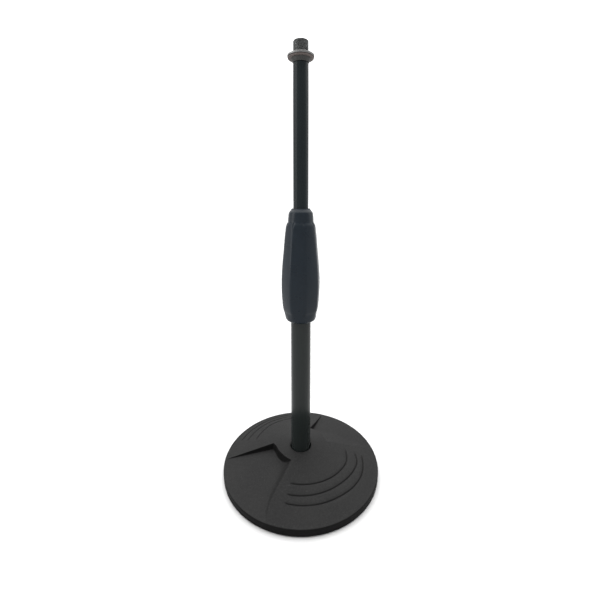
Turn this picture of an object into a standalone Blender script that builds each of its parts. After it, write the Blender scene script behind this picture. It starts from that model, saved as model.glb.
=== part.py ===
"""Desktop microphone stand: round cast base, two telescoping tubes, a twist clutch and a 5/8 inch thread.

Units are metres, +Z is up, and the origin is the centre of the surface that the base stands on.
Design sizes are given in millimetres through MM. Angles in plan run counter-clockwise from +X.
"""
import math

import bmesh
import bpy
from mathutils import Vector

MM = 0.001
GAP = 0.3                       # clearance that two touching pieces keep

# ---- base ----
BASE_R = 88.0
RIM_TOP_Z = 8.5
RIM_FOOT_Z = 0.8
HUB_TOP_Z = 25.8
HUB_R = 15.0
SOCKET_R = 12.0
SOCKET_FLOOR_Z = 15.0
WEB_Z = 10.5
BOLT_HOLE_R = 4.3
COUNTERBORE_R = 14.0
PAD_IN_R, PAD_OUT_R, PAD_TOP_Z = 77.7, 85.3, 3.0
UNDER_POCKET_Z = 3.8
RECESS_HUB_Z = 14.6             # floor of the sunk sectors, at radius 32
RECESS_RIM_Z = 8.5              # the same floor where it runs out, at radius 86
STEEP_DRAFT = math.radians(10.0)
SOFT_DRAFT = math.radians(45.0)
GROOVE_R = 0.75                 # half width of the shallow arc grooves

# ---- fixing under the base ----
BOLT_R, BOLT_AF, BOLT_HEAD_Z, BOLT_HEAD_H, BOLT_END_Z = 4.0, 13.0, 1.0, 5.3, 33.0
SPRING_WASHER_H, FLAT_WASHER_H = 1.8, 1.5

# ---- tubes ----
LOWER_R, LOWER_BORE, LOWER_TOP_Z = 11.0, 9.8, 240.0
UPPER_R, UPPER_BORE = 8.0, 6.8
UPPER_FOOT_Z, UPPER_TOP_Z = 205.0, 445.2
PLUG_FLANGE_TOP_Z, PLUG_TOP_Z = 17.0, 36.0

# ---- clutch ----
CLUTCH_FOOT_Z, CLUTCH_TOP_Z, CLUTCH_R = 200.0, 246.0, 13.5
NUT_Z = (208.0, 236.0)
NUT_R = (13.8, 16.3)
COLLET_Z, COLLET_TAPER_Z, COLLET_TOP_Z = 247.0, 262.0, 278.0
COLLET_R, COLLET_TIP_R, COLLET_BORE = 12.6, 9.5, 8.3
COLLET_SLOT, COLLET_SLOT_Z = 1.5, 254.0
GRIP_PANELS = 8
GRIP_PANEL_PHASE = math.radians(14.0)
GRIP_FOOT_Z, GRIP_TOP_Z = 176.5, 298.6
WIPER_Z = (283.0, 295.5)
WIPER_R = (8.3, 10.2)

# ---- mast end and stud ----
BUSH_Z = (206.0, 226.0)
BUSH_R = (8.3, 9.55)
STUD_SHOULDER_Z = (445.5, 449.5)
STUD_SHOULDER_R = 10.1
THREAD_R, STUD_TOP_Z = 7.94, 466.7
WASHER_Z, WASHER_R = (449.8, 450.8), 13.3
RING_Z, RING_R = (451.1, 453.1), 13.8
RING_HUB_TOP_Z, RING_HUB_R = 454.9, 9.2

FINE, COARSE = 60, 30


# ---------------------------------------------------------------- scene
for old in list(bpy.data.objects):
    bpy.data.objects.remove(old, do_unlink=True)

parts = bpy.data.collections.new("desktop_mic_stand")
cutters = bpy.data.collections.new("cutters")
bpy.context.scene.collection.children.link(parts)
bpy.context.scene.collection.children.link(cutters)
cutters.hide_render = True


def material(name, colour, roughness, metallic):
    mat = bpy.data.materials.new(name)
    mat.use_nodes = True
    shader = mat.node_tree.nodes["Principled BSDF"]
    shader.inputs["Base Color"].default_value = (*colour, 1.0)
    shader.inputs["Roughness"].default_value = roughness
    shader.inputs["Metallic"].default_value = metallic
    return mat


def body_frame(name, z, parent=None):
    """An empty on the axis that carries one moving body."""
    frame = bpy.data.objects.new(name, None)
    frame.empty_display_size = 0.02
    parts.objects.link(frame)
    frame.location = (0.0, 0.0, z * MM)
    if parent is not None:
        frame.parent = parent
        frame.location.z -= world_z(parent)
    return frame


def world_z(frame):
    total = 0.0
    while frame is not None:
        total += frame.location.z
        frame = frame.parent
    return total


base_frame = body_frame("base_frame", 0.0)
collet_frame = body_frame("collet_frame", COLLET_Z, base_frame)
grip_frame = body_frame("grip_frame", GRIP_FOOT_Z, collet_frame)
slider_frame = body_frame("slider_frame", BUSH_Z[0], base_frame)
mast_frame = body_frame("mast_frame", UPPER_FOOT_Z, slider_frame)
washer_frame = body_frame("washer_frame", WASHER_Z[0], mast_frame)
ring_frame = body_frame("ring_frame", RING_Z[0], washer_frame)


def add(name, mesh, frame, mat=None):
    obj = bpy.data.objects.new(name, mesh)
    parts.objects.link(obj)
    obj.parent = frame
    if mat is not None:
        mesh.materials.append(mat)
    return obj


def as_cutter(obj):
    for collection in list(obj.users_collection):
        collection.objects.unlink(obj)
    cutters.objects.link(obj)
    obj.hide_render = True
    obj.display_type = "WIRE"
    return obj


def turned(name, profile, frame, mat=None, steps=COARSE, phase=0.0):
    """A profile of (radius, z) in millimetres, out along its top and down its outer side, turned about Z.

    A profile that starts and ends on the axis is left open there; any other is closed.
    """
    floor = world_z(frame)
    mesh = bpy.data.meshes.new(name)
    bm = bmesh.new()
    points = [bm.verts.new((r * MM * math.cos(phase), r * MM * math.sin(phase), z * MM - floor)) for r, z in profile]
    for first, second in zip(points, points[1:]):
        bm.edges.new((first, second))
    if profile[0][0] > 0.0:
        bm.edges.new((points[-1], points[0]))
    bm.to_mesh(mesh)
    bm.free()
    obj = add(name, mesh, frame, mat)
    screw = obj.modifiers.new("turn", "SCREW")
    screw.steps = steps
    screw.render_steps = steps
    screw.axis = "Z"
    screw.angle = 2.0 * math.pi
    screw.use_merge_vertices = True
    screw.merge_threshold = 0.00001
    screw.use_smooth_shade = True
    return obj


def ring(r_in, r_out, z_low, z_high, chamfer=0.0):
    """Closed profile of a plain ring, with its outer corners chamfered."""
    if chamfer <= 0.0:
        return [(r_in, z_high), (r_out, z_high), (r_out, z_low), (r_in, z_low)]
    return [
        (r_in, z_high), (r_out - chamfer, z_high), (r_out, z_high - chamfer),
        (r_out, z_low + chamfer), (r_out - chamfer, z_low), (r_in, z_low),
    ]


def prism(name, low, high, z_low, z_high):
    """A closed loft between two outlines with the same number of corners, in millimetres."""
    mesh = bpy.data.meshes.new(name)
    bm = bmesh.new()
    floor = [bm.verts.new((x * MM, y * MM, z_low * MM)) for x, y in low]
    roof = [bm.verts.new((x * MM, y * MM, z_high * MM)) for x, y in high]
    bm.faces.new(floor)
    bm.faces.new(roof)
    for i in range(len(floor)):
        j = (i + 1) % len(floor)
        bm.faces.new((floor[i], floor[j], roof[j], roof[i]))
    bmesh.ops.triangulate(bm, faces=bm.faces[:])
    bmesh.ops.recalc_face_normals(bm, faces=bm.faces[:])
    bm.to_mesh(mesh)
    bm.free()
    return add(name, mesh, base_frame)


def box(name, size, centre, frame, turn_z=0.0, tilt=0.0):
    """A block, sized and placed in millimetres, in world coordinates."""
    mesh = bpy.data.meshes.new(name)
    bm = bmesh.new()
    bmesh.ops.create_cube(bm, size=1.0)
    bmesh.ops.scale(bm, vec=Vector(size) * MM, verts=bm.verts[:])
    bm.to_mesh(mesh)
    bm.free()
    obj = add(name, mesh, frame)
    obj.location = Vector(centre) * MM - Vector((0.0, 0.0, world_z(frame)))
    obj.rotation_euler = (tilt, 0.0, turn_z)
    return obj


def rod(name, radius, length, centre, frame, segments=12, along="Z", mat=None):
    mesh = bpy.data.meshes.new(name)
    bm = bmesh.new()
    bmesh.ops.create_cone(
        bm, cap_ends=True, segments=segments, radius1=radius * MM, radius2=radius * MM, depth=length * MM)
    bm.to_mesh(mesh)
    bm.free()
    obj = add(name, mesh, frame, mat)
    obj.location = Vector(centre) * MM - Vector((0.0, 0.0, world_z(frame)))
    obj.rotation_euler = (0.0, math.pi / 2.0, 0.0) if along == "X" else (0.0, 0.0, 0.0)
    return obj


def boolean(obj, other, operation="DIFFERENCE"):
    mod = obj.modifiers.new(operation.lower(), "BOOLEAN")
    mod.operation = operation
    mod.solver = "EXACT"
    mod.object = other
    as_cutter(other)
    return mod


def curve_to_mesh(obj, name):
    """The mesh of a bevelled curve, with its caps welded on."""
    graph = bpy.context.evaluated_depsgraph_get()
    mesh = bpy.data.meshes.new_from_object(obj.evaluated_get(graph))
    bm = bmesh.new()
    bm.from_mesh(mesh)
    bmesh.ops.remove_doubles(bm, verts=bm.verts[:], dist=0.000001)
    bmesh.ops.recalc_face_normals(bm, faces=bm.faces[:])
    bm.to_mesh(mesh)
    bm.free()
    made = add(name, mesh, base_frame)
    made.matrix_world = obj.matrix_world.copy()
    bpy.data.objects.remove(obj, do_unlink=True)
    return made


# ---------------------------------------------------------------- materials
def own(name):
    looks = {
        "iron": ((0.040, 0.040, 0.041), 0.62, 0.0),
        "black_tube": ((0.030, 0.033, 0.033), 0.42, 0.0),
        "grey_tube": ((0.034, 0.038, 0.035), 0.50, 0.0),
        "black_plastic": ((0.028, 0.028, 0.030), 0.45, 0.0),
        "white_plastic": ((0.62, 0.61, 0.57), 0.45, 0.0),
        "steel": ((0.30, 0.31, 0.31), 0.34, 1.0),
        "dark_steel": ((0.20, 0.21, 0.21), 0.38, 1.0),
        "rubber": ((0.022, 0.022, 0.022), 0.80, 0.0),
        "fibre": ((0.17, 0.07, 0.05), 0.75, 0.0),
    }
    return lambda piece: material(piece + "_material", *looks[name])


iron, black_tube, grey_tube = own("iron"), own("black_tube"), own("grey_tube")
black_plastic, white_plastic, steel = own("black_plastic"), own("white_plastic"), own("steel")
dark_steel, rubber, fibre = own("dark_steel"), own("rubber"), own("fibre")


# ---------------------------------------------------------------- base casting
TOP_SLOPE = (HUB_TOP_Z - RIM_TOP_Z) / (BASE_R - 1.0 - HUB_R)
FLOOR_SLOPE = (RECESS_HUB_Z - RECESS_RIM_Z) / (86.0 - 32.0)


def top_z(r):
    """Height of the raised top face."""
    return HUB_TOP_Z - TOP_SLOPE * (max(r, HUB_R) - HUB_R)


def floor_z(r):
    """Height of the floor of a sunk sector."""
    return RECESS_HUB_Z - FLOOR_SLOPE * (r - 32.0)


def polar(r, degrees):
    return Vector((r * math.cos(math.radians(degrees)), r * math.sin(math.radians(degrees))))


base_casting = turned("base_casting", [
    (SOCKET_R, HUB_TOP_Z - 0.5), (SOCKET_R + 0.5, HUB_TOP_Z), (HUB_R, HUB_TOP_Z),
    (BASE_R - 2.2, top_z(BASE_R - 2.2)), (BASE_R - 0.8, RIM_TOP_Z - 0.2), (BASE_R, RIM_TOP_Z - 1.3),
    (BASE_R - 0.4, RIM_FOOT_Z + 0.8), (BASE_R - 1.0, RIM_FOOT_Z),
    (PAD_OUT_R + GAP, RIM_FOOT_Z), (PAD_OUT_R + GAP, PAD_TOP_Z + GAP),
    (PAD_IN_R - GAP, PAD_TOP_Z + GAP), (PAD_IN_R - GAP, RIM_FOOT_Z),
    (PAD_IN_R - 2.2, RIM_FOOT_Z), (PAD_IN_R - 3.6, UNDER_POCKET_Z),
    (21.0, UNDER_POCKET_Z), (20.0, RIM_FOOT_Z), (COUNTERBORE_R, RIM_FOOT_Z), (COUNTERBORE_R, WEB_Z),
    (BOLT_HOLE_R, WEB_Z), (BOLT_HOLE_R, SOCKET_FLOOR_Z), (SOCKET_R, SOCKET_FLOOR_Z),
], base_frame, iron("base_casting"), steps=FINE)

# Air above the floor cone of the sunk sectors.
def air(name):
    return turned(name, [(8.0, 40.0), (104.0, 40.0), (104.0, floor_z(104.0)), (8.0, floor_z(8.0))],
                  base_frame, steps=FINE)


def edge_line(p, q, inward, draft, z):
    """The wall over the edge p-q at height z: each end moves inward as the wall goes down from the top face."""
    slope = math.tan(draft)
    return (p + inward * (top_z(p.length) - z) * slope, q + inward * (top_z(q.length) - z) * slope)


def meet(a, b):
    """Where two lines, each of two points, cross."""
    d, e = a[1] - a[0], b[1] - b[0]
    t = ((b[0].x - a[0].x) * e.y - (b[0].y - a[0].y) * e.x) / (d.x * e.y - d.y * e.x)
    return a[0] + d * t


def outline(corners, drafts, z):
    """The outline of a sunk sector at height z, from its top edge (counter-clockwise) and each wall's draft."""
    lines = []
    for i, draft in enumerate(drafts):
        p, q = corners[i], corners[(i + 1) % len(corners)]
        along = (q - p).normalized()
        inward = Vector((-along.y, along.x))
        lines.append((p, q) if draft is None else edge_line(p, q, inward, draft, z))
    return [meet(lines[i - 1], lines[i]) for i in range(len(lines))]


def hub_arc(start, end, count):
    """Points from one polar position to another, with radius eased between them."""
    return [polar(start[0] + (end[0] - start[0]) * i / count, start[1] + (end[1] - start[1]) * i / count)
            for i in range(count + 1)]


def sunk_sector(name, corners, drafts, ramp):
    """Cuts one sunk sector: its drafted outline, cut back to the air over its floor and to one soft ramp."""
    low, high = 4.0, 32.0
    wedge = prism(name, outline(corners, drafts, low), outline(corners, drafts, high), low, high)
    along = (ramp[1] - ramp[0]).normalized()
    inward = Vector((-along.y, along.x))
    faces = []
    for z in (low, high):
        p, q = edge_line(ramp[0], ramp[1], inward, SOFT_DRAFT, z)
        faces.append([p, q, q + inward * 220.0, p + inward * 220.0])
    boolean(wedge, prism(name + "_ramp", faces[0], faces[1], low, high), "INTERSECT")
    boolean(wedge, air(name + "_air"), "INTERSECT")
    boolean(base_casting, wedge)


# Left sector: steep wall at the back, soft ramp at the front.
left_hub = hub_arc((25.0, 276.0), (26.3, 193.0), 5) + [polar(28.5, 176.1), polar(33.2, 166.1)]
left_corners = [polar(112.0, 276.0)] + left_hub + [
    polar(33.2, 166.1) + (polar(82.6, 180.9) - polar(33.2, 166.1)).normalized() * 78.0, polar(150.0, 225.0)]
sunk_sector("left_sector", left_corners, [None] + [STEEP_DRAFT] * len(left_hub) + [None, None],
            (polar(112.0, 244.2), polar(12.0, 244.2)))

# Right sector: steep wall at the back, soft ramp towards the front.
right_hub = [polar(38.0, 72.0)] + hub_arc((38.1, 62.5), (33.0, -20.0), 6)
right_corners = [polar(150.0, 25.0), polar(112.0, 70.0)] + right_hub + [polar(112.0, -20.0)]
sunk_sector("right_sector", right_corners, [None] + [STEEP_DRAFT] * len(right_hub) + [None, None],
            (polar(12.0, 30.0), polar(112.0, 9.0)))


def groove_points(knots, step=6.0):
    """A smooth arc through (radius, degrees) knots, lying on the top face."""
    def radius(t):
        for (r0, a0), (r1, a1) in zip(knots, knots[1:]):
            if min(a0, a1) <= t <= max(a0, a1):
                s = (t - a0) / (a1 - a0)
                return r0 + (r1 - r0) * s
        return knots[-1][0]
    first, last = knots[0][1], knots[-1][1]
    count = max(4, round(abs(last - first) / step))
    angles = [first + (last - first) * i / count for i in range(count + 1)]
    return [(*polar(radius(t), t), top_z(radius(t)) + 0.15) for t in angles]


front_arcs = [
    [(47.6, 258.0), (49.3, 303.0), (53.6, 340.0), (52.6, 363.0)],
    [(58.5, 258.0), (59.2, 305.0), (64.6, 346.0), (62.8, 361.0)],
    [(66.9, 258.0), (69.0, 308.0), (71.9, 338.0), (70.8, 359.0)],
]
back_arcs = [
    [(59.5, 158.0), (65.0, 130.0), (67.4, 102.0)],
    [(69.7, 159.5), (72.4, 130.0), (73.6, 101.0)],
    [(77.8, 160.0), (78.6, 130.0), (79.2, 100.0)],
]
groove_curve = bpy.data.curves.new("arc_grooves", "CURVE")
groove_curve.dimensions = "3D"
groove_curve.bevel_depth = GROOVE_R * MM
groove_curve.bevel_resolution = 1
groove_curve.use_fill_caps = True
for knots in front_arcs + back_arcs:
    points = groove_points(knots)
    spline = groove_curve.splines.new("POLY")
    spline.points.add(len(points) - 1)
    for point, (x, y, z) in zip(spline.points, points):
        point.co = (x * MM, y * MM, z * MM, 1.0)
grooves = bpy.data.objects.new("arc_grooves_curve", groove_curve)
parts.objects.link(grooves)
boolean(base_casting, curve_to_mesh(grooves, "arc_grooves"))

# ---------------------------------------------------------------- fixing and foot of the lower tube
turned("rim_pad", ring(PAD_IN_R, PAD_OUT_R, 0.0, PAD_TOP_Z, 0.6), base_frame, rubber("rim_pad"), steps=FINE)

base_bolt = rod("base_bolt", BOLT_AF / 2.0 / math.cos(math.pi / 6.0), BOLT_HEAD_H,
                (0.0, 0.0, BOLT_HEAD_Z + BOLT_HEAD_H / 2.0), base_frame, segments=6, mat=dark_steel("base_bolt"))
shank = turned("bolt_shank", [
    (0.0, BOLT_END_Z), (BOLT_R - 0.8, BOLT_END_Z), (BOLT_R, BOLT_END_Z - 0.8),
    (BOLT_R, BOLT_HEAD_Z + 2.0), (0.0, BOLT_HEAD_Z + 2.0)], base_frame, steps=24)
boolean(base_bolt, shank, "UNION")

washer_low = BOLT_HEAD_Z + BOLT_HEAD_H + GAP
spring_washer = turned("spring_washer", ring(BOLT_HOLE_R, 7.4, washer_low, washer_low + SPRING_WASHER_H),
                       base_frame, steel("spring_washer"), steps=24)
boolean(spring_washer, box("spring_washer_split", (6.0, 1.0, 4.0), (6.2, 0.0, washer_low + 0.9), base_frame,
                           tilt=math.radians(30.0)))
flat_low = washer_low + SPRING_WASHER_H + GAP
turned("flat_washer", ring(BOLT_HOLE_R, 10.0, flat_low, flat_low + FLAT_WASHER_H), base_frame,
       steel("flat_washer"), steps=24)

turned("tube_plug", [
    (BOLT_R + GAP, PLUG_TOP_Z), (LOWER_BORE - GAP - 1.0, PLUG_TOP_Z), (LOWER_BORE - GAP, PLUG_TOP_Z - 1.0),
    (LOWER_BORE - GAP, PLUG_FLANGE_TOP_Z), (LOWER_R, PLUG_FLANGE_TOP_Z), (LOWER_R, SOCKET_FLOOR_Z + GAP),
    (BOLT_R + GAP, SOCKET_FLOOR_Z + GAP)], base_frame, steel("tube_plug"), steps=24)

lower_tube = turned("lower_tube", ring(LOWER_BORE, LOWER_R, PLUG_FLANGE_TOP_Z + GAP, LOWER_TOP_Z),
                    base_frame, grey_tube("lower_tube"), steps=FINE)
clutch_body = turned("clutch_body", [
    (UPPER_R + 0.4, CLUTCH_TOP_Z), (CLUTCH_R - 2.5, CLUTCH_TOP_Z), (CLUTCH_R, CLUTCH_TOP_Z - 2.5),
    (CLUTCH_R, CLUTCH_FOOT_Z + 0.8), (CLUTCH_R - 0.8, CLUTCH_FOOT_Z), (LOWER_R + GAP, CLUTCH_FOOT_Z),
    (LOWER_R + GAP, LOWER_TOP_Z + GAP), (UPPER_R + 0.4, LOWER_TOP_Z + GAP)],
    base_frame, steel("clutch_body"), steps=COARSE)

# Two pins hold the clutch body on the tube, one on each side, below the working thread.
PIN_Z, PIN_R = 204.0, 1.2
for holed in (lower_tube, clutch_body):
    boolean(holed, rod(holed.name + "_pin_hole", PIN_R + GAP, 40.0, (0.0, 0.0, PIN_Z), base_frame, along="X"))
pin_low, pin_high = LOWER_BORE + GAP, CLUTCH_R - GAP
for side, name in ((1.0, "clutch_pin_right"), (-1.0, "clutch_pin_left")):
    rod(name, PIN_R, pin_high - pin_low, (side * (pin_low + pin_high) / 2.0, 0.0, PIN_Z), base_frame, along="X",
        mat=steel(name))

# ---------------------------------------------------------------- clutch
collet = turned("collet", [
    (COLLET_BORE, COLLET_TOP_Z), (COLLET_TIP_R, COLLET_TOP_Z), (COLLET_R, COLLET_TAPER_Z),
    (COLLET_R, COLLET_Z + 2.3), (COLLET_R + 0.4, COLLET_Z + 2.0), (COLLET_R + 0.4, COLLET_Z),
    (COLLET_BORE, COLLET_Z)], collet_frame, white_plastic("collet"), steps=COARSE)
slot_height = COLLET_TOP_Z - COLLET_SLOT_Z + 4.0
for number, turn in enumerate((45.0, 135.0)):
    boolean(collet, box(f"collet_slot_{number}", (40.0, COLLET_SLOT, slot_height),
                        (0.0, 0.0, COLLET_SLOT_Z + slot_height / 2.0), collet_frame, turn_z=math.radians(turn)))

# Outer shape of the grip: plain neck, small step, long barrel, step, rounded bowl.
GRIP_OUTER = [
    (10.4, GRIP_TOP_Z), (12.1, 296.3), (13.1, 293.8), (13.5, 290.0), (13.9, 284.5),
    (14.9, 281.5), (16.0, 277.0), (16.9, 268.0), (18.1, 253.0), (19.1, 242.4), (19.9, 231.4),
    (20.4, 217.0), (20.2, 208.0), (19.8, 200.0), (19.3, 194.5), (18.6, 189.5), (17.8, 185.0), (17.1, 181.0),
    (16.4, 178.2), (15.3, 177.0), (14.0, GRIP_FOOT_Z),
]
taper = (COLLET_R - COLLET_TIP_R) / (COLLET_TOP_Z - COLLET_TAPER_Z)
GRIP_INNER = [
    (11.6, GRIP_FOOT_Z), (11.6, 180.5), (14.0, 185.5), (14.0, NUT_Z[0] - GAP),
    (NUT_R[1] + GAP, NUT_Z[0] - GAP), (NUT_R[1] + GAP, NUT_Z[1] + GAP), (14.0, NUT_Z[1] + GAP),
    (14.0, 249.8), (COLLET_R + 0.4, 251.0), (COLLET_R + 0.4, COLLET_TAPER_Z),
    (COLLET_TIP_R + 0.4, COLLET_TOP_Z), (9.4, COLLET_TOP_Z + 2.6), (9.4, WIPER_Z[0] - GAP),
    (WIPER_R[1] + GAP, WIPER_Z[0] - GAP), (WIPER_R[1] + GAP, WIPER_Z[1] + GAP),
    (9.3, WIPER_Z[1] + GAP), (9.3, GRIP_TOP_Z - 0.4), (9.6, GRIP_TOP_Z),
]
grip_sleeve = turned("grip_sleeve", GRIP_OUTER + GRIP_INNER, grip_frame, black_plastic("grip_sleeve"), steps=36)
# Eight shallow flats: an eight-sided turned form whose flats lie just under the round one.
flat_scale = 0.99 / math.cos(math.pi / GRIP_PANELS)
facets = turned("grip_flats", [(0.0, 310.0), (15.0 * flat_scale, 310.0), (15.0 * flat_scale, 285.2)]
                + [(r * flat_scale, z) for r, z in GRIP_OUTER if 186.0 < z < 284.0]
                + [(20.0 * flat_scale, 183.5), (20.0 * flat_scale, 160.0), (0.0, 160.0)],
                grip_frame, steps=GRIP_PANELS, phase=GRIP_PANEL_PHASE)
boolean(grip_sleeve, facets, "INTERSECT")

turned("clutch_nut", ring(NUT_R[0], NUT_R[1], NUT_Z[0], NUT_Z[1]), grip_frame, steel("clutch_nut"), steps=COARSE)
turned("wiper_ring", ring(WIPER_R[0], WIPER_R[1], WIPER_Z[0], WIPER_Z[1], 0.3), grip_frame,
       black_plastic("wiper_ring"), steps=COARSE)

# ---------------------------------------------------------------- mast
turned("glide_bush", ring(BUSH_R[0], BUSH_R[1], BUSH_Z[0], BUSH_Z[1], 0.5), slider_frame,
       white_plastic("glide_bush"), steps=COARSE)
turned("upper_tube", ring(UPPER_BORE, UPPER_R, UPPER_FOOT_Z, UPPER_TOP_Z), mast_frame,
       black_tube("upper_tube"), steps=FINE)
turned("mast_bumper", [
    (0.0, UPPER_FOOT_Z + 10.0), (UPPER_BORE - GAP - 1.0, UPPER_FOOT_Z + 10.0),
    (UPPER_BORE - GAP, UPPER_FOOT_Z + 9.0), (UPPER_BORE - GAP, UPPER_FOOT_Z - GAP),
    (9.3, UPPER_FOOT_Z - GAP), (9.3, UPPER_FOOT_Z - 2.2), (8.3, UPPER_FOOT_Z - 3.2), (0.0, UPPER_FOOT_Z - 3.2)],
    mast_frame, rubber("mast_bumper"), steps=24)
glide_clip = turned("glide_clip", ring(UPPER_R + 0.2, 9.4, BUSH_Z[1] + GAP, BUSH_Z[1] + GAP + 1.2), mast_frame,
                    steel("glide_clip"), steps=24)
boolean(glide_clip, box("clip_opening", (4.0, 3.0, 4.0), (8.8, 0.0, BUSH_Z[1] + 1.0), mast_frame))

turned("thread_stud", [
    (0.0, STUD_TOP_Z), (THREAD_R - 0.9, STUD_TOP_Z), (THREAD_R, STUD_TOP_Z - 0.9),
    (THREAD_R, STUD_SHOULDER_Z[1]), (STUD_SHOULDER_R, STUD_SHOULDER_Z[1]), (UPPER_R + 0.3, STUD_SHOULDER_Z[0]),
    (UPPER_BORE - GAP, STUD_SHOULDER_Z[0]), (UPPER_BORE - GAP, 430.6), (UPPER_BORE - GAP - 0.6, 430.0),
    (0.0, 430.0)], mast_frame, dark_steel("thread_stud"), steps=36)

turned("fibre_washer", ring(THREAD_R + GAP, WASHER_R, WASHER_Z[0], WASHER_Z[1]), washer_frame,
       fibre("fibre_washer"), steps=36)
turned("lock_ring", [
    (THREAD_R + GAP, RING_HUB_TOP_Z), (RING_HUB_R - 0.6, RING_HUB_TOP_Z), (RING_HUB_R + 0.6, RING_Z[1]),
    (RING_R - 0.4, RING_Z[1]), (RING_R, RING_Z[1] - 0.4), (RING_R, RING_Z[0] + 0.3),
    (RING_R - 0.3, RING_Z[0]), (THREAD_R + GAP, RING_Z[0])], ring_frame, steel("lock_ring"), steps=36)

for obj in parts.objects:
    if obj.type == "MESH":
        obj.data.set_sharp_from_angle(angle=math.radians(35.0))
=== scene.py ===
"""Looks of the desktop microphone stand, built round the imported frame. Metres, +Z up; sizes below are in millimetres through MM."""
import math

import bmesh
import bpy
import numpy as np
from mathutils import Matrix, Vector, geometry


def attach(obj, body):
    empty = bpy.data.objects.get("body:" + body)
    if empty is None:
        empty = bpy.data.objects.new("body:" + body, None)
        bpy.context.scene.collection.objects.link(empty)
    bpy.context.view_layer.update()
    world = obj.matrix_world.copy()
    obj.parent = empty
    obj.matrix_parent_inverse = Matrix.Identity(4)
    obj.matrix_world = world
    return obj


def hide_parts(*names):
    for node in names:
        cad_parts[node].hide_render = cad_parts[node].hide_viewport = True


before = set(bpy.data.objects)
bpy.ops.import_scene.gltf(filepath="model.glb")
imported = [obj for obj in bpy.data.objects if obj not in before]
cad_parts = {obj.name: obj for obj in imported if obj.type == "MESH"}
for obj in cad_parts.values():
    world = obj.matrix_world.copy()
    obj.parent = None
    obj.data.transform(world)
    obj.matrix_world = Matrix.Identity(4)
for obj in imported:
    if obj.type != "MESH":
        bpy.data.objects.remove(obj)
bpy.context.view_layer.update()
MM = 0.001
TAU = 2.0 * math.pi

# ------------------------------------------------------------------ camera
camera_data = bpy.data.cameras.new("camera")
camera = bpy.data.objects.new("camera", camera_data)
bpy.context.scene.collection.objects.link(camera)
camera_data.sensor_width = 36.0
camera_data.lens = 20.7256
camera_data.shift_x = -0.00133
camera_data.shift_y = -0.10
camera_data.clip_start = 0.01
camera_data.clip_end = 60.0
camera.location = (0.0, -0.36942, 0.30938)
camera.rotation_euler = (math.radians(90.0 - 6.881), 0.0, 0.0)
bpy.context.scene.camera = camera


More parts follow.
